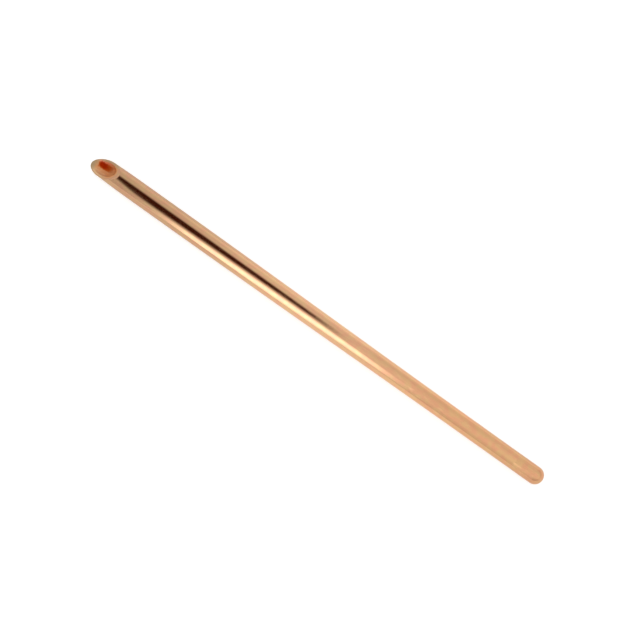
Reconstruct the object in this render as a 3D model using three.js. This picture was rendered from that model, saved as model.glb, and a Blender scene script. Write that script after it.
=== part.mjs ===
// A slim copper dibber: a scoop mouth at one end for lifting seedlings, a round nose at the other for making holes.
// Millimetres. X runs along the tool from the scoop to the nose, +Z is up, and the scoop opens upwards.

import * as THREE from 'three';

// Driving sizes of the whole tool
const overallLength = 250;
const gripDiameter = 10;
const noseDiameter = 8.2;
const wallThickness = 1.2;
const gripRadius = gripDiameter / 2;
const noseRadius = noseDiameter / 2;

// The long smooth taper from the grip down to the nose, with a short straight end for the joint
const taperStart = 45;
const straightEndLength = 0.5;
const taperRings = 20;

// The scoop reaches this far back from the toe, and the round tube starts behind it
const scoopLength = 34;

// The scoop mouth, cut through the tube at a slant and dressed round along its lip
const mouthCutAngle = THREE.MathUtils.degToRad( 31.5 );
const mouthSlope = 1 / Math.tan(mouthCutAngle);
const mouthRings = 14;
const lipReach = 0.6;
const lipSteps = 8;

// The sides of the toe are drawn in, so the scoop is a little narrower than the tube
const toeDrawInShare = 0.14;
const toeDrawInLength = 24;

// The solid nose plug: a half ball, a short shank as thick as the tube, and a spigot inside the tube
const plugShankLength = 10;
const spigotLength = 14;
const spigotClearance = 0.05;
const spigotChamfer = 0.6;
const noseSteps = 10;

// The ring of brazing alloy between the tube's end and the plug's shoulder
const brazeWidth = 0.4;
const brazeBoreClearance = 0.05;

// The pressed cup that closes the bore behind the scoop
const stopperSetback = 0.5;
const stopperLength = 5;
const stopperSheet = 0.6;
const stopperCorner = 0.8;
const stopperClearance = 0.05;
const stopperSteps = 4;

// Round sections have this many flats, and one of them faces down
const sideCount = 24;
const flatHalfAngle = Math.PI / sideCount;
const cornerFactor = 1 / Math.cos(flatHalfAngle);

// Places along the tool, from the tip of the toe
const plugLength = noseRadius + plugShankLength;
const shoulderPlace = overallLength - plugLength;
const tubeEnd = shoulderPlace - brazeWidth;
const taperEnd = tubeEnd - straightEndLength;
const stopperPlace = scoopLength + stopperSetback;

function outerRadiusAt( place ) {

	const fall = THREE.MathUtils.smoothstep( place, taperStart, taperEnd );
	return THREE.MathUtils.lerp( gripRadius, noseRadius, fall );

}

function boreRadiusAt( place ) {

	return outerRadiusAt( place ) - wallThickness;

}

function evenly( start, end, steps ) {

	return Array.from( { length: steps + 1 }, ( unused, step ) => THREE.MathUtils.lerp( start, end, step / steps ) );

}

// Turns a profile of ( radius, place ) points about the X axis, with a flat facing down
function turnProfile( profile ) {

	const geometry = new THREE.LatheGeometry( profile, sideCount );
	geometry.rotateZ( - Math.PI / 2 );
	geometry.rotateX( flatHalfAngle );
	geometry.scale( 1, cornerFactor, cornerFactor );
	return geometry;

}

function material( colour, roughness ) {

	return new THREE.MeshStandardMaterial( { color: colour, roughness, metalness: 1 } );

}

function namedMesh( name, geometry, meshMaterial ) {

	geometry.computeVertexNormals();
	const mesh = new THREE.Mesh( geometry, meshMaterial );
	mesh.name = name;
	return mesh;

}

// Half round lip that joins the bore to the outer wall, listed from the inside to the outside
function lipPoints() {

	const halfWall = wallThickness / 2;
	const middleRadius = gripRadius - halfWall;
	return evenly( 0, Math.PI, lipSteps ).map( ( turn ) => new THREE.Vector2(
		middleRadius - halfWall * Math.cos( turn ),
		lipReach * ( 1 - Math.sin( turn ) )
	) );

}

// Closed wall section of the tube while its mouth is still square
function tubeProfile() {

	const mouthPlaces = evenly( lipReach, scoopLength, mouthRings );
	const taperPlaces = evenly( taperStart, taperEnd, taperRings );
	const places = [ ...mouthPlaces.slice( 1 ), ...taperPlaces, tubeEnd ];
	const outside = places.map( ( place ) => new THREE.Vector2( outerRadiusAt( place ), place ) );
	const bore = places.map( ( place ) => new THREE.Vector2( boreRadiusAt( place ), place ) ).reverse();
	const lip = lipPoints();
	return [ ...lip, ...outside, ...bore, lip[ 0 ] ];

}

// How far the slanted lip stays short of the cut's sharp corner once it is rounded
function lipSetback() {

	const rise = mouthSlope * wallThickness / 2;
	return lipReach + rise - Math.hypot( lipReach, rise );

}

// Slants the mouth: the heel on top moves back along the tool, and the shift fades out down the tube
function slantMouth( point ) {

	const slant = ( point.z + gripRadius ) * mouthSlope;
	const fade = Math.max( 0, 1 - point.x / scoopLength );
	point.x += ( slant - lipSetback() ) * fade;

}

// Draws the sides in, more and more towards the tip of the toe
function drawInToe( point ) {

	const nearness = Math.max( 0, 1 - point.x / toeDrawInLength );
	point.y *= 1 - toeDrawInShare * nearness ** 2;

}

function tubeBody() {

	const geometry = turnProfile( tubeProfile() );
	const places = geometry.attributes.position;
	const point = new THREE.Vector3();
	for ( let index = 0; index < places.count; index ++ ) {

		point.fromBufferAttribute( places, index );
		slantMouth( point );
		drawInToe( point );
		places.setXYZ( index, point.x, point.y, point.z );

	}

	return namedMesh( 'tube_body', geometry, material( 0xd79f73, 0.22 ) );

}

function nosePlug() {

	const spigotRadius = boreRadiusAt( tubeEnd ) - spigotClearance;
	const spigotStart = shoulderPlace - spigotLength;
	const ballCentre = overallLength - noseRadius;
	const spigot = [
		new THREE.Vector2( 0, spigotStart ),
		new THREE.Vector2( spigotRadius - spigotChamfer, spigotStart ),
		new THREE.Vector2( spigotRadius, spigotStart + spigotChamfer ),
		new THREE.Vector2( spigotRadius, shoulderPlace ),
		new THREE.Vector2( noseRadius, shoulderPlace )
	];
	const ball = evenly( 0, Math.PI / 2, noseSteps ).map( ( turn ) => new THREE.Vector2(
		noseRadius * Math.cos( turn ),
		ballCentre + noseRadius * Math.sin( turn )
	) );
	ball[ noseSteps ].x = 0;
	return namedMesh( 'nose_plug', turnProfile( [ ...spigot, ...ball ] ), material( 0xd9a071, 0.3 ) );

}

function brazeRing() {

	const innerRadius = boreRadiusAt( tubeEnd ) - spigotClearance + brazeBoreClearance;
	const section = [
		new THREE.Vector2( innerRadius, tubeEnd ),
		new THREE.Vector2( noseRadius, tubeEnd ),
		new THREE.Vector2( noseRadius, shoulderPlace ),
		new THREE.Vector2( innerRadius, shoulderPlace ),
		new THREE.Vector2( innerRadius, tubeEnd )
	];
	return namedMesh( 'braze_ring', turnProfile( section ), material( 0xc99c7c, 0.35 ) );

}

// Cup of thin sheet with a round front corner, its open side towards the nose
function boreStopper() {

	const outerRadius = boreRadiusAt( stopperPlace ) - stopperClearance;
	const innerRadius = outerRadius - stopperSheet;
	const cornerRadius = outerRadius - stopperCorner;
	const skirtEnd = stopperPlace + stopperLength;
	const corner = evenly( 0, Math.PI / 2, stopperSteps ).map( ( turn ) => new THREE.Vector2(
		cornerRadius + stopperCorner * Math.sin( turn ),
		stopperPlace + stopperCorner * ( 1 - Math.cos( turn ) )
	) );
	const inside = [
		new THREE.Vector2( outerRadius, skirtEnd ),
		new THREE.Vector2( innerRadius, skirtEnd ),
		new THREE.Vector2( innerRadius, stopperPlace + stopperCorner ),
		new THREE.Vector2( cornerRadius, stopperPlace + stopperSheet ),
		new THREE.Vector2( 0, stopperPlace + stopperSheet )
	];
	const front = new THREE.Vector2( 0, stopperPlace );
	return namedMesh( 'bore_stopper', turnProfile( [ front, ...corner, ...inside ] ), material( 0xb9794f, 0.4 ) );

}

// The origin is under the middle of the tool, on the surface that it lies on
function copperDibber() {

	const dibber = new THREE.Group();
	dibber.add( tubeBody(), nosePlug(), brazeRing(), boreStopper() );
	dibber.position.set( - overallLength / 2, 0, gripRadius );
	return dibber;

}

export default copperDibber();
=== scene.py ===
# %% [markdown]
# The object is a copper dibber, 25 cm long and as thick as a pencil: a polished tube with a slanted
# scoop mouth at one end, for lifting seedlings, and a solid round nose at the other, for making
# holes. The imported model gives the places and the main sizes, so it is loaded first, and each piece
# below is built straight at its place with nothing fitted afterwards. What a box can't tell, such
# as the wall and the slant of the mouth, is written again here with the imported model's own numbers.

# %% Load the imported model
import math

import bpy
from mathutils import Matrix, Vector


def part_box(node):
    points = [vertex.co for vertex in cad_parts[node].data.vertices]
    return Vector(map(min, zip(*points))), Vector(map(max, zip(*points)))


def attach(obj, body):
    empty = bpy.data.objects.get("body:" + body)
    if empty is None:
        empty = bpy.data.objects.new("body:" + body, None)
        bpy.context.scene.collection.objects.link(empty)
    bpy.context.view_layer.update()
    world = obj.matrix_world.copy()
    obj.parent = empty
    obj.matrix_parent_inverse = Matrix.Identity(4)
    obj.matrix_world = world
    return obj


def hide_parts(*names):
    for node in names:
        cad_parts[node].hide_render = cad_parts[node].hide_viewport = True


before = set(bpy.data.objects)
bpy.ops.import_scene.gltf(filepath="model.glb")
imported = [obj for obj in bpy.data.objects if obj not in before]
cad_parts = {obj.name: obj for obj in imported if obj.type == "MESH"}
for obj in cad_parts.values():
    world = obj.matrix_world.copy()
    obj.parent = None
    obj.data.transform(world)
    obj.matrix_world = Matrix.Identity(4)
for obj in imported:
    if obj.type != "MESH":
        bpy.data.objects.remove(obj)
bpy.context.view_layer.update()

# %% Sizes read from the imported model
MM = 0.001
tube_low, tube_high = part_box("tube_body")
plug_low, plug_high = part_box("nose_plug")
ring_low, ring_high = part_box("braze_ring")
cup_low, cup_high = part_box("bore_stopper")
grip_radius = (tube_high[1] - tube_low[1]) / 2
nose_radius = (plug_high[1] - plug_low[1]) / 2
axis_height = grip_radius
toe_place = tube_low[0]
tube_end = tube_high[0]
nose_place = plug_high[0]
print("grip radius", grip_radius, "nose radius", nose_radius, "length", nose_place - toe_place)

# %% [markdown]
# On the real object the tube is drawn, cut at a slant, dressed round along its lip and reduced
# towards the nose. It could be a cylinder with a cut taken out of it, but the cut leaves slivers
# beside the lip, and they show at once on polished metal. So a ring of edges is extruded step by
# step, out along the outer wall, round the lip and back along the bore. Clean rings mirror the
# light without a kink.

# %% Helpers for the rings of a turned piece
SIDES = 96


def select_none():
    """Leave edit mode and deselect all."""
    if bpy.context.mode != "OBJECT":
        bpy.ops.object.mode_set(mode="OBJECT")
    bpy.ops.object.select_all(action="DESELECT")


def first_ring(name, place, radius, fill):
    """Add a circle square to the tool's axis and stay in edit mode with it selected."""
    select_none()
    bpy.ops.mesh.primitive_circle_add(
        vertices=SIDES, radius=radius, fill_type=fill, enter_editmode=True,
        location=(place, 0, axis_height), rotation=(0, math.pi / 2, 0))
    bpy.context.object.name = name
    bpy.context.object.data.name = name
    return bpy.context.object


def next_ring(step, ratio, place):
    """Extrude the selected ring by a step along the tool and change its radius by a ratio."""
    bpy.ops.mesh.extrude_edges_move(TRANSFORM_OT_translate={"value": (step, 0, 0)})
    bpy.ops.transform.resize(value=(1, ratio, ratio), center_override=(place, 0, axis_height))


def run_rings(name, section, fill="NOTHING"):
    """Make a turned surface through a list of (place, radius) pairs."""
    piece = first_ring(name, *section[0], fill)
    for (old_place, old_radius), (place, radius) in zip(section, section[1:]):
        next_ring(place - old_place, radius / old_radius, place)
    return piece


def steps(start, end, count):
    """Evenly spaced values from start to end."""
    return [start + (end - start) * step / count for step in range(count + 1)]


print("every ring has", SIDES, "sides")

# %% Helpers that finish a piece
SHARP_ANGLE = math.radians(40)
MERGE_DISTANCE = MM / 1000


def settle(piece):
    """Merge doubles, turn faces outwards, bake the placing into the mesh and shade it smooth."""
    bpy.ops.mesh.select_all(action="SELECT")
    bpy.ops.mesh.remove_doubles(threshold=MERGE_DISTANCE)
    bpy.ops.mesh.normals_make_consistent(inside=False)
    bpy.ops.object.mode_set(mode="OBJECT")
    bpy.ops.object.transform_apply(location=True, rotation=True, scale=True)
    bpy.ops.object.shade_smooth_by_angle(angle=SHARP_ANGLE)
    print(piece.name, len(piece.data.polygons), "faces")


def hand_over(piece, cad_node):
    """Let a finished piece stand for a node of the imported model."""
    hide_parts(cad_node)
    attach(piece, "root")
    print(piece.name, "stands for", cad_node)


# %% [markdown]
# The tube's outside falls in one long soft taper from the grip down to the nose. A soft step gives
# it: it starts and ends without a corner, as a reduced tube does.

# %% The tube's radii along its length
TAPER_START = 45 * MM
TAPER_END = 235 * MM
WALL = 1.2 * MM


def outer_radius(run):
    """Outer radius of the tube at a distance from the tip of the toe."""
    share = min(1, max(0, (run - TAPER_START) / (TAPER_END - TAPER_START)))
    return grip_radius + (nose_radius - grip_radius) * share * share * (3 - 2 * share)


print("radius halfway down the taper:", outer_radius((TAPER_START + TAPER_END) / 2))

# %% [markdown]
# The wall's section is one list of places and radii, while the mouth is still square. It starts at
# the far end, runs along the outside to the mouth, round the lip in a half circle, and back along
# the bore. The rings lie closest in the scoop, because the slant of the mouth will move them there.

# %% The wall's section
LIP_REACH = 0.6 * MM
LIP_STEPS = 12
SCOOP_LENGTH = 34 * MM
SCOOP_RINGS = 40
TAPER_RINGS = 60

far_run = tube_end - toe_place
scoop_runs = steps(LIP_REACH, SCOOP_LENGTH, SCOOP_RINGS)
runs = scoop_runs + steps(TAPER_START, TAPER_END, TAPER_RINGS) + [far_run]
outside = [(run, outer_radius(run)) for run in reversed(runs)]
lip = [(LIP_REACH * (1 - math.sin(turn)), grip_radius - WALL / 2 + WALL / 2 * math.cos(turn))
       for turn in steps(0, math.pi, LIP_STEPS)[1:-1]]
inside = [(run, outer_radius(run) - WALL) for run in runs]
wall_section = [(toe_place + run, radius) for run, radius in outside + lip + inside]
print(len(wall_section), "rings in the wall's section")

# %% Turn the tube and close its far end
tube = run_rings("copper_tube", wall_section)
bpy.ops.mesh.select_all(action="DESELECT")
bpy.ops.mesh.select_non_manifold()
bpy.ops.mesh.bridge_edge_loops()
settle(tube)

# %% [markdown]
# The finishes need to know which part of the wall is bore and how far back from the lip a point
# lies. That is easiest to tell now, while the mouth is still square, so it is written on the mesh
# as two attributes before the mouth is slanted. They stay with the points whatever shape they take.

# %% Write the bore and the distance from the lip on the mesh
bore_mark = tube.data.attributes.new("bore", "FLOAT", "POINT")
lip_mark = tube.data.attributes.new("from_lip", "FLOAT", "POINT")
bore_points = 0
for vertex in tube.data.vertices:
    run = vertex.co.x - toe_place
    radius = math.hypot(vertex.co.y, vertex.co.z - axis_height)
    on_bore = radius < outer_radius(run) - WALL / 2
    bore_mark.data[vertex.index].value = 1.0 if on_bore else 0.0
    lip_mark.data[vertex.index].value = run / MM
    bore_points += on_bore
print(bore_points, "of", len(tube.data.vertices), "points lie on the bore's side")

# %% [markdown]
# The slant of the mouth fades out down the tube, so the rings behind the scoop stay square and the
# ones in it lean more and more towards the lip. A shear tool would lean all rings alike, so the
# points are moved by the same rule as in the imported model. A second rule draws the sides in
# towards the toe.

# %% Slant the mouth and draw in the toe
MOUTH_CUT_ANGLE = math.radians(31.5)
MOUTH_SLOPE = 1 / math.tan(MOUTH_CUT_ANGLE)
TOE_DRAW_IN = 0.14
DRAW_IN_RUN = 24 * MM
rise = MOUTH_SLOPE * WALL / 2
lip_setback = LIP_REACH + rise - math.hypot(LIP_REACH, rise)
for vertex in tube.data.vertices:
    run = vertex.co.x - toe_place
    height = vertex.co.z - axis_height
    slant = (height + grip_radius) * MOUTH_SLOPE - lip_setback
    run += slant * max(0, 1 - run / SCOOP_LENGTH)
    narrowing = 1 - TOE_DRAW_IN * max(0, 1 - run / DRAW_IN_RUN) ** 2
    vertex.co = (toe_place + run, vertex.co.y * narrowing, axis_height + height)
tube.data.update()
print("tip of the toe:", min(vertex.co.x for vertex in tube.data.vertices))
hand_over(tube, "tube_body")

# %% [markdown]
# The nose is a solid plug, turned from bar: a half ball, a short shank as thick as the tube's end,
# and a thinner spigot that sits in the tube. The rings run from the spigot to the tip, and the last
# tiny ring is collapsed to a point, so the pole is closed.

# %% Nose plug
NOSE_STEPS = 32
POLE_RADIUS = 0.01 * MM
SPIGOT_GAP = 0.05 * MM
SPIGOT_CHAMFER = 0.6 * MM
shank_start = ring_high[0]
ball_centre = nose_place - nose_radius
spigot_radius = nose_radius - WALL - SPIGOT_GAP
spigot = [(plug_low[0], spigot_radius - SPIGOT_CHAMFER),
          (plug_low[0] + SPIGOT_CHAMFER, spigot_radius),
          (shank_start, spigot_radius),
          (shank_start, nose_radius)]
ball = [(ball_centre + nose_radius * math.sin(turn), nose_radius * math.cos(turn))
        for turn in steps(0, math.pi / 2, NOSE_STEPS)[:-1]]
plug = run_rings("nose", spigot + ball + [(nose_place, POLE_RADIUS)], fill="NGON")
bpy.ops.mesh.edge_collapse()
settle(plug)
hand_over(plug, "nose_plug")

# %% [markdown]
# Where tube and plug meet, a ring of brazing alloy fills the joint and is dressed flush. The file
# left it a trace proud in its middle, so that the joint only shows where it catches the light.

# %% Brazed seam
SEAM_CROWN = 0.003 * MM
SEAM_STEPS = 6
seam_width = ring_high[0] - ring_low[0]
seam_crown = [(ring_low[0] + seam_width * share,
               nose_radius + SEAM_CROWN * math.sin(math.pi * share))
              for share in steps(0, 1, SEAM_STEPS)]
seam_inner = nose_radius - WALL
seam_foot = (ring_low[0], seam_inner)
seam = run_rings("brazed_seam", [seam_foot] + seam_crown + [(ring_high[0], seam_inner), seam_foot])
settle(seam)
hand_over(seam, "braze_ring")

# %% [markdown]
# A small pressed cup closes the bore behind the scoop, so that soil can't pack the whole tube. Its
# front corner is rounded by the press, and its open side looks towards the nose. No photograph can
# show it, so it is a reasoned piece.

# %% Pressed stopper
CUP_SHEET = 0.6 * MM
CUP_CORNER = 0.8 * MM
CUP_STEPS = 8
CUP_GAP = 0.05 * MM
cup_outer = outer_radius(cup_low[0] - toe_place) - WALL - CUP_GAP
corner_radius = cup_outer - CUP_CORNER
cup_corner = [(cup_low[0] + CUP_CORNER * (1 - math.cos(turn)),
               corner_radius + CUP_CORNER * math.sin(turn))
              for turn in steps(0, math.pi / 2, CUP_STEPS)]
cup_inside = [(cup_high[0], cup_outer),
              (cup_high[0], cup_outer - CUP_SHEET),
              (cup_low[0] + CUP_CORNER, cup_outer - CUP_SHEET),
              (cup_low[0] + CUP_SHEET, corner_radius),
              (cup_low[0] + CUP_SHEET, POLE_RADIUS)]
cup = run_rings("soil_stopper", cup_corner + cup_inside, fill="NGON")
bpy.ops.mesh.edge_collapse()
settle(cup)
hand_over(cup, "bore_stopper")

# %% [markdown]
# A finish is built from nodes. These short helpers add a node, feed a value or another node into a
# socket, and do one sum, so that each finish below reads like a recipe. A soft edge is always
# written as a pair: where it begins and where it is full. A pair that falls is an edge that fades
# the other way.

# %% Helpers for single nodes


def node(tree, kind, **values):
    """Add a node and set its properties."""
    made = tree.nodes.new(kind)
    for key, value in values.items():
        setattr(made, key, value)
    return made


def feed(tree, value, socket):
    """Link a socket to another, or set its value."""
    if isinstance(value, bpy.types.NodeSocket):
        tree.links.new(value, socket)
    else:
        socket.default_value = value


def maths(tree, operation, first, second=0.0, third=0.0):
    """One sum on two or three values."""
    made = node(tree, "ShaderNodeMath", operation=operation)
    for value, socket in zip((first, second, third), made.inputs):
        feed(tree, value, socket)
    return made.outputs[0]


# %% Helpers for soft edges, patterns and colours


def ramp(tree, value, low, high, start=0.0, end=1.0):
    """Soft change from start to end while the value goes from low to high."""
    made = node(tree, "ShaderNodeMapRange", interpolation_type="SMOOTHSTEP")
    settings = {"Value": value, "From Min": low, "From Max": high, "To Min": start, "To Max": end}
    for name, given in settings.items():
        feed(tree, given, made.inputs[name])
    return made.outputs[0]


def noise(tree, coordinates, scale, detail=3.0, roughness=0.5):
    """Grey cloud pattern from 0 to 1."""
    made = node(tree, "ShaderNodeTexNoise", noise_dimensions="3D")
    feed(tree, coordinates, made.inputs["Vector"])
    feed(tree, scale, made.inputs["Scale"])
    made.inputs["Detail"].default_value = detail
    made.inputs["Roughness"].default_value = roughness
    return made.outputs["Fac"]


def stretched(tree, coordinates, along, turned=0.0):
    """Coordinates squeezed along the tool, so that a pattern on them is drawn out lengthwise."""
    made = node(tree, "ShaderNodeMapping")
    feed(tree, coordinates, made.inputs["Vector"])
    made.inputs["Rotation"].default_value = (0, 0, turned)
    made.inputs["Scale"].default_value = (along, 1, 1)
    return made.outputs["Vector"]


def blend(tree, share, first, second, mode="MIX"):
    """Mix two colours."""
    made = node(tree, "ShaderNodeMix", data_type="RGBA", blend_type=mode)
    feed(tree, share, made.inputs["Factor"])
    for value, socket in ((first, made.inputs[6]), (second, made.inputs[7])):
        feed(tree, value if isinstance(value, bpy.types.NodeSocket) else (*value, 1), socket)
    return made.outputs[2]


# %% Helpers for groups of nodes


def new_group(name, inputs, outputs):
    """Start a node group with named number inputs, a vector input and named outputs."""
    tree = bpy.data.node_groups.new(name, "ShaderNodeTree")
    tree.interface.new_socket("Place", in_out="INPUT", socket_type="NodeSocketVector")
    for label, value in inputs.items():
        socket = tree.interface.new_socket(label, in_out="INPUT", socket_type="NodeSocketFloat")
        socket.default_value = value
    for label in outputs:
        tree.interface.new_socket(label, in_out="OUTPUT", socket_type="NodeSocketFloat")
    return tree, node(tree, "NodeGroupInput").outputs, node(tree, "NodeGroupOutput").inputs


def use_group(tree, group, place, **values):
    """Place a group in a material with its own values."""
    made = node(tree, "ShaderNodeGroup", node_tree=group)
    feed(tree, place, made.inputs["Place"])
    for label, value in values.items():
        feed(tree, value, made.inputs[label])
    return made.outputs


# %% [markdown]
# The tube was polished lengthwise with fine cloth. That leaves hair lines a few tenths of a
# millimetre apart that run along the tool, some longer and some shorter. A noise pattern that is
# drawn out along the tool gives both, and its fine part also raises and lowers the surface very
# slightly, which softens the edges of reflections.

# %% Group: lengthwise brushing
LINE_FINENESS = 2600.0
FINE_STRETCH = 0.02
BROAD_STRETCH = 0.05
BROAD_FINENESS = 0.3
FINE_WEIGHT = 0.6
BROAD_WEIGHT = 0.4
LINE_EDGE = (0.32, 0.68)
brushing, given, wanted = new_group(
    "lengthwise_brushing", {"Fineness": LINE_FINENESS}, ["Lines", "Height"])
fine_place = stretched(brushing, given["Place"], FINE_STRETCH)
fine = noise(brushing, fine_place, given["Fineness"], detail=2.0)
broad_scale = maths(brushing, "MULTIPLY", given["Fineness"], BROAD_FINENESS)
broad_place = stretched(brushing, given["Place"], BROAD_STRETCH)
broad = noise(brushing, broad_place, broad_scale, detail=2.0)
broad = maths(brushing, "MULTIPLY", broad, BROAD_WEIGHT)
both = maths(brushing, "MULTIPLY_ADD", fine, FINE_WEIGHT, broad)
feed(brushing, ramp(brushing, both, *LINE_EDGE), wanted["Lines"])
feed(brushing, both, wanted["Height"])
print("group:", brushing.name)

# %% [markdown]
# Handled copper doesn't tarnish evenly. Soft clouds a centimetre or two across turn a little
# browner, small spots of oxide stay here and there, and patches a few millimetres long blush pinker
# or yellower. One group gives the three as masks from 0 to 1.

# %% Group: tarnish clouds
CLOUD_SIZE = 70.0
CLOUD_SPREAD = 0.5
CLOUD_STRETCH = 0.7
CLOUD_LEVEL = 0.85
CLOUD_SOFTNESS = 0.28
SPOT_FINENESS = 9.0
SPOT_EDGE = (0.66, 0.74)
BLUSH_STRETCH = 0.8
BLUSH_FINENESS = 5.0
BLUSH_EDGE = (0.36, 0.64)
tarnish, given, wanted = new_group(
    "tarnish_clouds", {"Size": CLOUD_SIZE, "Spread": CLOUD_SPREAD}, ["Clouds", "Spots", "Blush"])
cloud_place = stretched(tarnish, given["Place"], CLOUD_STRETCH)
large = noise(tarnish, cloud_place, given["Size"], detail=4.0, roughness=0.55)
low = maths(tarnish, "SUBTRACT", CLOUD_LEVEL, given["Spread"])
high = maths(tarnish, "ADD", low, CLOUD_SOFTNESS)
feed(tarnish, ramp(tarnish, large, low, high), wanted["Clouds"])
spot_scale = maths(tarnish, "MULTIPLY", given["Size"], SPOT_FINENESS)
small = noise(tarnish, given["Place"], spot_scale, detail=2.0)
feed(tarnish, ramp(tarnish, small, *SPOT_EDGE), wanted["Spots"])
blush_place = stretched(tarnish, given["Place"], BLUSH_STRETCH)
blush_scale = maths(tarnish, "MULTIPLY", given["Size"], BLUSH_FINENESS)
middle = noise(tarnish, blush_place, blush_scale, detail=2.0)
feed(tarnish, ramp(tarnish, middle, *BLUSH_EDGE), wanted["Blush"])
print("group:", tarnish.name)

# %% [markdown]
# Soil and grit leave short scratches. A scratch is a thin line where a drawn-out noise passes
# through its middle value, and a second noise breaks the line into short pieces. Two sets at a
# small angle to the tool look like use.

# %% Group: short scratches
SCRATCH_SETS = ((0.16, 420.0), (-0.22, 310.0))
SCRATCH_AMOUNT = 0.5
SCRATCH_STRETCH = 0.06
MIDDLE_GREY = 0.5
SCRATCH_EDGE = (0.012, 0.003)
BREAK_FINENESS = 0.55
BREAK_EDGE = (0.52, 0.62)
scratches, given, wanted = new_group("short_scratches", {"Amount": SCRATCH_AMOUNT}, ["Lines"])
sets = []
for turned, scale in SCRATCH_SETS:
    line_place = stretched(scratches, given["Place"], SCRATCH_STRETCH, turned)
    lines = noise(scratches, line_place, scale, detail=0.0)
    off_middle = maths(scratches, "ABSOLUTE", maths(scratches, "SUBTRACT", lines, MIDDLE_GREY))
    thin = ramp(scratches, off_middle, *SCRATCH_EDGE)
    breaks = noise(scratches, given["Place"], scale * BREAK_FINENESS, detail=1.0)
    sets.append(maths(scratches, "MULTIPLY", thin, ramp(scratches, breaks, *BREAK_EDGE)))
any_line = maths(scratches, "MAXIMUM", *sets)
feed(scratches, maths(scratches, "MULTIPLY", any_line, given["Amount"]), wanted["Lines"])
print("groups:", [group.name for group in bpy.data.node_groups])

# %% [markdown]
# Every copper finish is the same recipe with other amounts: the bare metal, browner where it is
# tarnished, warmer towards the nose, a little darker in the brush lines and brighter in fresh
# scratches. Roughness follows the same masks, because tarnish and brushing both blur reflections.

# %% Amounts that all copper finishes share
PINK_TINT = (1.0, 0.91, 0.98)
YELLOW_TINT = (0.97, 1.05, 1.0)
WARM_TINT = (1.0, 0.94, 0.86)
WARM_RUN = (0.0, 0.08)
LINE_TINT = (0.8, 0.8, 0.8)
SCRATCH_TINT = (1.25, 1.25, 1.25)
SPOT_SHARE = 0.12
TARNISH_ROUGHNESS = 0.07
LINE_ROUGHNESS = 0.02
SCRATCH_ROUGHNESS = 0.12
SCRATCH_DEPTH = -0.6
RELIEF_HEIGHT = 0.02 * MM


def tinted(colour, tint):
    """A colour times a tint, no channel over 1."""
    return tuple(min(1, value * factor) for value, factor in zip(colour, tint))


print("the finish warms from", WARM_RUN[0], "to", WARM_RUN[1], "m towards the nose")

# %% Recipe for a copper finish


def copper_finish(name, bright, tarnished, rough, cloud_share, line_share, scratch_share, bump,
                  size=CLOUD_SIZE):
    """A copper material, with the colour, roughness and relief that handling gives it."""
    material = bpy.data.materials.new(name)
    material.use_nodes = True
    tree = material.node_tree
    shader = tree.nodes["Principled BSDF"]
    shader.inputs["Metallic"].default_value = 1
    place = node(tree, "ShaderNodeTexCoord").outputs["Object"]
    lines = use_group(tree, brushing, place)
    clouds = use_group(tree, tarnish, place, Size=size)
    marks = use_group(tree, scratches, place, Amount=scratch_share)["Lines"]
    spots = maths(tree, "MULTIPLY", clouds["Spots"], SPOT_SHARE)
    share = maths(tree, "MULTIPLY_ADD", clouds["Clouds"], cloud_share, spots)
    metal = blend(tree, clouds["Blush"], tinted(bright, YELLOW_TINT), tinted(bright, PINK_TINT))
    colour = blend(tree, share, metal, tarnished)
    parts = node(tree, "ShaderNodeSeparateXYZ")
    feed(tree, place, parts.inputs[0])
    warmth = ramp(tree, parts.outputs["X"], *WARM_RUN)
    colour = blend(tree, warmth, colour, WARM_TINT, "MULTIPLY")
    line_mask = maths(tree, "MULTIPLY", lines["Lines"], line_share)
    colour = blend(tree, line_mask, colour, tinted(bright, LINE_TINT))
    colour = blend(tree, marks, colour, tinted(bright, SCRATCH_TINT))
    feed(tree, colour, shader.inputs["Base Color"])
    roughness = maths(tree, "MULTIPLY_ADD", share, TARNISH_ROUGHNESS, rough)
    roughness = maths(tree, "MULTIPLY_ADD", lines["Lines"], LINE_ROUGHNESS, roughness)
    roughness = maths(tree, "MULTIPLY_ADD", marks, SCRATCH_ROUGHNESS, roughness)
    feed(tree, roughness, shader.inputs["Roughness"])
    relief = node(tree, "ShaderNodeBump")
    relief.inputs["Strength"].default_value = bump
    relief.inputs["Distance"].default_value = RELIEF_HEIGHT
    height = maths(tree, "MULTIPLY_ADD", marks, SCRATCH_DEPTH, lines["Height"])
    feed(tree, height, relief.inputs["Height"])
    feed(tree, relief.outputs["Normal"], shader.inputs["Normal"])
    print("finish:", name)
    return material, tree, shader, colour


# %% [markdown]
# The tube is the most polished piece. The nose is rubbed by soil, so it is rougher. The brazing
# alloy has nearly the colour of copper, and the stopper in the bore was never polished.

# %% Finishes of the four pieces
BRIGHT_COPPER = (0.82, 0.475, 0.258)
BROWN_COPPER = (0.66, 0.38, 0.22)
BRIGHT_ALLOY = (0.82, 0.485, 0.27)
BROWN_ALLOY = (0.66, 0.39, 0.23)
BRIGHT_CUP = (0.74, 0.36, 0.17)
BROWN_CUP = (0.4, 0.16, 0.08)
tube_finish, tube_tree, tube_shader, tube_colour = copper_finish(
    "polished_copper", BRIGHT_COPPER, BROWN_COPPER,
    rough=0.045, cloud_share=0.25, line_share=0.12, scratch_share=0.3, bump=0.08)
nose_finish, *_ = copper_finish(
    "rubbed_copper_nose", BRIGHT_COPPER, BROWN_COPPER,
    rough=0.16, cloud_share=0.25, line_share=0.12, scratch_share=0.45, bump=0.1)
seam_finish, *_ = copper_finish(
    "brazing_alloy", BRIGHT_ALLOY, BROWN_ALLOY,
    rough=0.08, cloud_share=0.3, line_share=0.12, scratch_share=0.2, bump=0.12)
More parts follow.
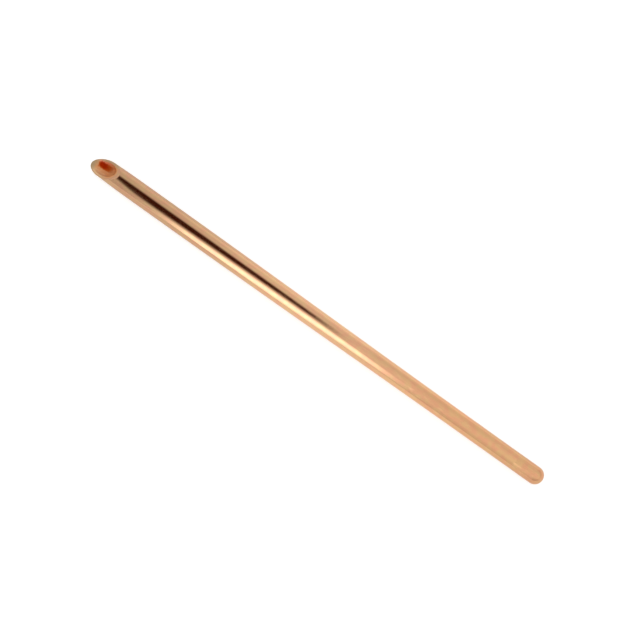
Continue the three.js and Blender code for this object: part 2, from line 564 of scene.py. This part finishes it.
cup_finish, *_ = copper_finish(
    "pressed_copper", BRIGHT_CUP, BROWN_CUP,
    rough=0.3, cloud_share=0.7, line_share=0.2, scratch_share=0.2, bump=0.3, size=160.0)
for piece, finish in ((tube, tube_finish), (plug, nose_finish), (seam, seam_finish),
                      (cup, cup_finish)):
    piece.data.materials.append(finish)
    print(piece.name, "has", finish.name)

# %% [markdown]
# Nobody polishes inside a bore, so its wall stays satin and mirrors nothing sharply. In the
# photograph one side of the scoop is deep red. That red is painted shade: the shaded part of the
# bore, reddened by light that went from wall to wall of bright copper, painted on the wall as a
# patch. It is read here as a patch of the red film of oxide that the metal had from annealing, and
# painted on the wall, but it may as well be light that went from wall to wall of bright copper. The
# patch thins out to orange at its edges, slowly towards the heel, and carries a painted pink
# highlight along its upper edge, where the wall faces the light. The toe and the upper rim get
# painted shade in brown, and the other side of the scoop gets painted light, so it is paler. All of
# these are masks over the tube's own finish, changed until the mouth looked as in the photograph.
# Two attributes tell bore from outside and lip from wall, the place along and across the tool does
# the rest, and a noise keeps every edge from running straight.

# %% Places in the scoop, in millimetres from the toe and across the tool
RAGGED_FINENESS = 700.0
RAGGED_REACH = 2.0
in_bore = node(tube_tree, "ShaderNodeAttribute", attribute_name="bore").outputs["Fac"]
from_lip = node(tube_tree, "ShaderNodeAttribute", attribute_name="from_lip").outputs["Fac"]
tube_place = node(tube_tree, "ShaderNodeTexCoord").outputs["Object"]
tube_parts = node(tube_tree, "ShaderNodeSeparateXYZ")
feed(tube_tree, tube_place, tube_parts.inputs[0])
ragged = noise(tube_tree, tube_place, RAGGED_FINENESS)
ragged = maths(tube_tree, "SUBTRACT", ragged, MIDDLE_GREY)
along = maths(tube_tree, "MULTIPLY_ADD", tube_parts.outputs["X"], 1 / MM, -toe_place / MM)
along = maths(tube_tree, "MULTIPLY_ADD", ragged, RAGGED_REACH, along)
aside = maths(tube_tree, "MULTIPLY_ADD", tube_parts.outputs["Y"], 1 / MM, ragged)
print("edges in the scoop wander by up to", RAGGED_REACH * MIDDLE_GREY, "mm along the tool")

# %% Masks for the scoop
# Soft edges of the masks below, in millimetres: the red patch of painted shade, the painted pink
# highlight, the painted light on the other side, and the painted shade at the toe and rim.
SHADE_FRONT = (2.3, 4.6)
SHADE_BACK = (12.3, 5.8)
SHADE_TOP = (3.9, 2.1)
SHADE_FOOT = (-0.45, 1.15)
HIGHLIGHT_LEAN = -0.2
HIGHLIGHT_SIDE = (1.0, 1.9)
LIT_SIDE = (-0.4, -2.4)
LIT_BACK = (12, 8)
TOE_SHADE = (3.8, 1.0)
RIM_SHADE_SIDE = (2.6, 3.8)
RIM_WIDTH = (1.6, 0.8)
RIM_SHARE = 0.8


def crossing(value, edge, other_value, other_edge):
    """Mask of where two soft edges are both full."""
    first = ramp(tube_tree, value, *edge)
    return maths(tube_tree, "MULTIPLY", first, ramp(tube_tree, other_value, *other_edge))


# The red patch is painted shade: the shaded bore wall, reddened by light bounced between the copper
# walls.
shade_run = crossing(along, SHADE_FRONT, along, SHADE_BACK)
shade_width = crossing(aside, SHADE_TOP, aside, SHADE_FOOT)
red_shade = maths(tube_tree, "MULTIPLY", shade_run, shade_width)
red_shade = maths(tube_tree, "MULTIPLY", in_bore, red_shade)
# Painted pink highlight on one side of the bore, where the wall faces the light.
highlight_lean = maths(tube_tree, "MULTIPLY_ADD", along, HIGHLIGHT_LEAN, aside)
pink_highlight = ramp(tube_tree, highlight_lean, *HIGHLIGHT_SIDE)
# Painted light on the other side of the bore, which makes that wall paler.
painted_light_side = crossing(aside, LIT_SIDE, along, LIT_BACK)
# Painted shade in brown along the upper rim and at the tip of the toe.
rim = crossing(from_lip, RIM_WIDTH, aside, RIM_SHADE_SIDE)
rim = maths(tube_tree, "MULTIPLY", rim, RIM_SHARE)
toe_and_rim_shade = maths(tube_tree, "MAXIMUM", ramp(tube_tree, along, *TOE_SHADE), rim)
print("the film runs from", SHADE_FRONT[0], "to", SHADE_BACK[0], "mm behind the toe")

# %% The scoop's painted shade and light over the tube's own finish
# Colours of the painted light and shade in the scoop, next to the bore's own satin copper.
RUBBED_COPPER = (0.88, 0.48, 0.225)
HIGHLIGHT_PINK_COPPER = (0.97, 0.52, 0.3)
LIT_PALE_COPPER = (0.93, 0.66, 0.39)
THIN_SHADE_ORANGE = (0.66, 0.16, 0.022)
THIN_SHADE_PINK_HIGHLIGHT = (0.97, 0.38, 0.22)
FULL_SHADE_RED = (0.51, 0.037, 0.002)
SHADE_BROWN = (0.6, 0.44, 0.26)
THIN_EDGE = (0, 0.5)
FULL_EDGE = (0.4, 1)
SATIN = 0.65
LIP_WIDTH = (1.0, 0.4)
LIP_SATIN = 0.6
# The bore's colour, with the painted pink highlight on one side and the painted light on the other.
bore_colour = blend(tube_tree, pink_highlight, RUBBED_COPPER, HIGHLIGHT_PINK_COPPER)
bore_colour = blend(tube_tree, painted_light_side, bore_colour, LIT_PALE_COPPER)
scoop_colour = blend(tube_tree, in_bore, tube_colour, bore_colour)
# Painted shade of the red patch: orange at its edges, pink with a painted highlight on one side, deep
# red in the middle.
thin_shade = blend(tube_tree, pink_highlight, THIN_SHADE_ORANGE, THIN_SHADE_PINK_HIGHLIGHT)
scoop_colour = blend(tube_tree, ramp(tube_tree, red_shade, *THIN_EDGE), scoop_colour, thin_shade)
scoop_colour = blend(tube_tree, ramp(tube_tree, red_shade, *FULL_EDGE), scoop_colour, FULL_SHADE_RED)
# Painted shade in brown at the toe and along the upper rim.
scoop_colour = blend(tube_tree, toe_and_rim_shade, scoop_colour, SHADE_BROWN)
feed(tube_tree, scoop_colour, tube_shader.inputs["Base Color"])
polished = tube_shader.inputs["Roughness"].links[0].from_socket
dull = maths(tube_tree, "MAXIMUM", in_bore, toe_and_rim_shade)
dull_lip = ramp(tube_tree, from_lip, *LIP_WIDTH, 0.0, LIP_SATIN)
dull = maths(tube_tree, "MAXIMUM", dull, dull_lip)
satin = maths(tube_tree, "MULTIPLY_ADD", dull, SATIN, polished)
feed(tube_tree, satin, tube_shader.inputs["Roughness"])
print(tube_finish.name, "has", len(tube_tree.nodes), "nodes")

# %% [markdown]
# The floor is white paper. To the camera and in mirror images it glows a little, so that it comes
# out white as in the photograph, while the soft shadow stays. What the tool mirrors of it is dimmer
# behind the scoop and brightest beside the long taper. That unevenness is fitted to how bright the
# tool's edges are in the photograph. The places are in metres from the middle of the tool.

# %% The floor's paper
PAPER_GREYS = ((0.74, 0.74, 0.74), (0.76, 0.76, 0.76))
PAPER_FINENESS = 900.0
PAPER_ROUGHNESS = 0.9
GLOW_WHITE = (1, 1, 1, 1)
floor_material = bpy.data.materials.new("white_paper")
floor_material.use_nodes = True
floor_tree = floor_material.node_tree
paper = floor_tree.nodes["Principled BSDF"]
paper.inputs["Roughness"].default_value = PAPER_ROUGHNESS
paper.inputs["Emission Color"].default_value = GLOW_WHITE
paper_place = node(floor_tree, "ShaderNodeTexCoord").outputs["Object"]
fibre = noise(floor_tree, paper_place, PAPER_FINENESS)
feed(floor_tree, blend(floor_tree, fibre, *PAPER_GREYS), paper.inputs["Base Color"])
print("floor material:", floor_material.name)

# %% The paper's glow, to the camera and in mirror images
FLOOR_GLOW = 0.6
DIM_GLOW = 0.14
TOE_GLOW = 0.2
NOSE_GLOW = 0.46
END_GLOW = 0.3
TOE_GLOW_EDGE = (0.01, -0.01)
NOSE_GLOW_EDGE = (-0.1, 0.01)
END_GLOW_EDGE = (0.06, 0.12)
floor_rays = node(floor_tree, "ShaderNodeLightPath").outputs
floor_parts = node(floor_tree, "ShaderNodeSeparateXYZ")
feed(floor_tree, paper_place, floor_parts.inputs[0])
toe_glow = ramp(floor_tree, floor_parts.outputs["Y"], *TOE_GLOW_EDGE, DIM_GLOW, TOE_GLOW)
mirrored = ramp(floor_tree, floor_parts.outputs["X"], *NOSE_GLOW_EDGE, toe_glow, NOSE_GLOW)
end_share = ramp(floor_tree, floor_parts.outputs["X"], *END_GLOW_EDGE)
mirrored = maths(floor_tree, "MULTIPLY_ADD", end_share, END_GLOW - NOSE_GLOW, mirrored)
mirrored = maths(floor_tree, "MULTIPLY", floor_rays["Is Glossy Ray"], mirrored)
glow = maths(floor_tree, "MULTIPLY_ADD", floor_rays["Is Camera Ray"], FLOOR_GLOW, mirrored)
feed(floor_tree, glow, paper.inputs["Emission Strength"])
print("mirrored glow from", DIM_GLOW, "to", NOSE_GLOW)

# %% Floor
FLOOR_SIZE = 4
select_none()
bpy.ops.mesh.primitive_plane_add(size=FLOOR_SIZE, location=(0, 0, 0))
floor = bpy.context.object
floor.name = "floor"
floor.data.materials.append(floor_material)
print("floor", FLOOR_SIZE, "m wide")

# %% [markdown]
# The photograph looks steeply down on the tool. How wide the mouth looks against its length gives
# the camera's height, within some degrees, and the way the tool slopes across the picture gives its
# direction. The tool's length in the picture gives the lens, and the place of its middle the aim.

# %% Where the camera looks from
ELEVATION = math.radians(75)
PICTURE_SLOPE = 0.7125
AZIMUTH = math.atan(PICTURE_SLOPE / math.sin(ELEVATION))
back = Vector((math.sin(AZIMUTH) * math.cos(ELEVATION),
               -math.cos(AZIMUTH) * math.cos(ELEVATION),
               math.sin(ELEVATION)))
right = Vector((math.cos(AZIMUTH), math.sin(AZIMUTH), 0))
up = back.cross(right)
print("the camera looks from", round(math.degrees(AZIMUTH), 2), "degrees round the tool")

# %% Camera
DISTANCE = 1.2
PIXELS = 640
PIXELS_PER_METRE = 2.245 / MM
MIDDLE_ACROSS = 313.04
MIDDLE_DOWN = 317.1
SENSOR = 36
NEAREST = 0.01
aim = Vector((0, 0, axis_height))
aim += right * (PIXELS / 2 - MIDDLE_ACROSS) / PIXELS_PER_METRE
aim -= up * (PIXELS / 2 - MIDDLE_DOWN) / PIXELS_PER_METRE
camera_data = bpy.data.cameras.new("camera")
camera = bpy.data.objects.new("camera", camera_data)
bpy.context.scene.collection.objects.link(camera)
turn = Matrix((right, up, back)).transposed().to_4x4()
turn.translation = aim + back * DISTANCE
camera.matrix_world = turn
camera_data.sensor_width = SENSOR
camera_data.lens = SENSOR * DISTANCE / (PIXELS / PIXELS_PER_METRE)
camera_data.clip_start = NEAREST
bpy.context.scene.camera = camera
print("lens", camera_data.lens, "mm")

# %% [markdown]
# Polished metal shows its surroundings more than itself. In the photograph the tool mirrors
# something pale nearly everywhere, something dark above it as a long dark streak, and something
# bright beside it as a cream streak. That is read here as a tent of white cloth with a dark gap and
# a lamp. What really stood there doesn't show, so the places, outlines and levels of the three are
# fitted to the streaks. The world holds them, and dark hems of the cloth, which the photograph
# doesn't mirror, so that the tool looks like metal from other sides too. All of it is fixed in
# space. Two numbers place a direction: how far it runs along the tool towards the toe, and how many
# degrees it turns round the tool from the camera's side.

# %% World
world = bpy.data.worlds.new("tent")
bpy.context.scene.world = world
world.use_nodes = True
sky = world.node_tree
background = sky.nodes["Background"]
direction = node(sky, "ShaderNodeTexCoord").outputs["Generated"]
toward = Vector((0, back.y, back.z)).normalized()
across = Vector((0, -toward.z, toward.y))


def dot(vector, axis):
    """Share of a direction that runs along an axis."""
    made = node(sky, "ShaderNodeVectorMath", operation="DOT_PRODUCT")
    feed(sky, vector, made.inputs[0])
    made.inputs[1].default_value = axis
    return made.outputs["Value"]


run_along = dot(direction, (-1, 0, 0))
turn_round = maths(sky, "ARCTAN2", dot(direction, across), dot(direction, toward))
turn_round = maths(sky, "MULTIPLY", turn_round, 180 / math.pi)
print("world:", world.name)

# %% Helpers for areas of the tent


def band(centre, half_width):
    """Soft band of directions round the tool, full in its middle."""
    off_centre = maths(sky, "SUBTRACT", turn_round, centre)
    return ramp(sky, maths(sky, "ABSOLUTE", off_centre), half_width, 0.0)


def slanted(slope, level):
    """The turn round the tool of a line that slants along it."""
    return maths(sky, "MULTIPLY_ADD", run_along, slope, level)


# %% [markdown]
# The cloth gives the tool its even copper colour. It is brighter towards the nose than towards the
# toe, a little dimmer halfway up both sides, and a little brighter low on the sides, except towards
# the nose.

# %% The cloth
CLOTH_RUN = (0.165, 0.25)
CLOTH_LEVELS = (0.94, 0.7)
FAR_DIMMER = (-57, 45)
FAR_DIMMING = 0.12
NEAR_DIMMER = (57, 45)
NEAR_DIMMING = 0.18
SIDE_RUN = (0.07, 0.1)
SIDE_GAIN = 0.18
SIDE_EDGE = (60, 105)
cloth = ramp(sky, run_along, *CLOTH_RUN, *CLOTH_LEVELS)
far_dimmer = band(*FAR_DIMMER)
near_dimmer = maths(sky, "MULTIPLY", band(*NEAR_DIMMER), NEAR_DIMMING)
dimmer = maths(sky, "MULTIPLY_ADD", far_dimmer, FAR_DIMMING, near_dimmer)
cloth = maths(sky, "MULTIPLY", cloth, maths(sky, "SUBTRACT", 1.0, dimmer))
side_gain = ramp(sky, run_along, *SIDE_RUN, 0.0, SIDE_GAIN)
sides = ramp(sky, maths(sky, "ABSOLUTE", turn_round), *SIDE_EDGE)
cloth = maths(sky, "MULTIPLY", cloth, maths(sky, "MULTIPLY_ADD", sides, side_gain, 1.0))
print("cloth from", CLOTH_LEVELS[1], "to", CLOTH_LEVELS[0])

# %% [markdown]
# The gap's foot runs straight along the tool. Its roof follows three lines: towards the toe it
# rises slowly, then faster, and then comes down steeply, which ends the dark streak at the scoop.
# The hems lie low on both sides, beyond the nose.

# %% The dark gap above the tool and the hems of the cloth
GAP_FOOT = (-47, -17)
ROOF_START = (300.0, -39.0)
ROOF_RISE = (900.0, -169.5)
ROOF_FALL = (-1300.0, 338.0)
ROOF_EDGE = (14, -14)
GAP_NOSE_END = (0.132, 0.138)
GAP_TOE_END = (0.6, 0.5)
FAR_HEM = (-90, 42)
NEAR_HEM = (64, 30)
HEM_RUN = (0.03, -0.04)
HEM_DEPTH = 0.2
gap_foot = ramp(sky, turn_round, *GAP_FOOT)
roof = maths(sky, "MAXIMUM", slanted(*ROOF_START), slanted(*ROOF_RISE))
roof = maths(sky, "MINIMUM", roof, slanted(*ROOF_FALL))
gap_roof = ramp(sky, maths(sky, "SUBTRACT", turn_round, roof), *ROOF_EDGE)
gap_run = ramp(sky, run_along, *GAP_NOSE_END)
gap_run = maths(sky, "MULTIPLY", gap_run, ramp(sky, run_along, *GAP_TOE_END))
gap = maths(sky, "MULTIPLY", maths(sky, "MULTIPLY", gap_foot, gap_roof), gap_run)
hems = maths(sky, "MAXIMUM", band(*FAR_HEM), band(*NEAR_HEM))
hems = maths(sky, "MULTIPLY", hems, HEM_DEPTH)
hems = maths(sky, "MULTIPLY", hems, ramp(sky, run_along, *HEM_RUN))
gap = maths(sky, "MAXIMUM", gap, hems)
print("the gap runs from", GAP_NOSE_END[0], "towards the toe, and the hems are", HEM_DEPTH, "deep")

# %% [markdown]
# The lamp is a soft patch beside the tool. Its middle lies on a slanted line, so that the cream
# streak crosses the tool at a slant, as in the photograph.

# %% The lamp beside it
LAMP_LEVEL = 1.33
LAMP_LINE = (259.0, 7.5)
LAMP_FAR_EDGE = (-34, -9)
LAMP_NEAR_EDGE = (39, 8)
LAMP_NOSE_END = (0.106, 0.12)
LAMP_TOE_END = (0.232, 0.2)
from_centre = maths(sky, "SUBTRACT", turn_round, slanted(*LAMP_LINE))
lamp_band = ramp(sky, from_centre, *LAMP_FAR_EDGE)
lamp_band = maths(sky, "MULTIPLY", lamp_band, ramp(sky, from_centre, *LAMP_NEAR_EDGE))
lamp_run = ramp(sky, run_along, *LAMP_NOSE_END)
lamp_run = maths(sky, "MULTIPLY", lamp_run, ramp(sky, run_along, *LAMP_TOE_END))
lamp = maths(sky, "MULTIPLY", lamp_band, lamp_run)
print("lamp level", LAMP_LEVEL)

# %% [markdown]
# The lamp's light is added to the cloth's. The background's colour and its strength are kept apart,
# and the camera itself sees plain white, as behind the tool in the photograph.

# %% Put the tent together
CLOTH_WHITE = (1, 1, 1)
GAP_BROWN = (0.06, 0.012, 0.003)
LAMP_WHITE = (0.93, 1, 1.12)
CAMERA_LEVEL = 1.0
cloth_colour = blend(sky, gap, CLOTH_WHITE, GAP_BROWN)
level = maths(sky, "MULTIPLY_ADD", lamp, LAMP_LEVEL, cloth)
lamp_share = maths(sky, "DIVIDE", maths(sky, "MULTIPLY", lamp, LAMP_LEVEL), level)
tent_colour = blend(sky, lamp_share, cloth_colour, LAMP_WHITE)
to_camera = node(sky, "ShaderNodeLightPath").outputs["Is Camera Ray"]
shown = node(sky, "ShaderNodeMix", data_type="FLOAT")
feed(sky, to_camera, shown.inputs["Factor"])
feed(sky, level, shown.inputs["A"])
feed(sky, CAMERA_LEVEL, shown.inputs["B"])
feed(sky, shown.outputs["Result"], background.inputs["Strength"])
feed(sky, blend(sky, to_camera, tent_colour, CLOTH_WHITE), background.inputs["Color"])
print("the tent has", len(sky.nodes), "nodes")

# %% [markdown]
# The colours are shown as they are written, without a film look, so the view transform is Standard.

# %% Set the view transform
bpy.context.scene.view_settings.view_transform = "Standard"
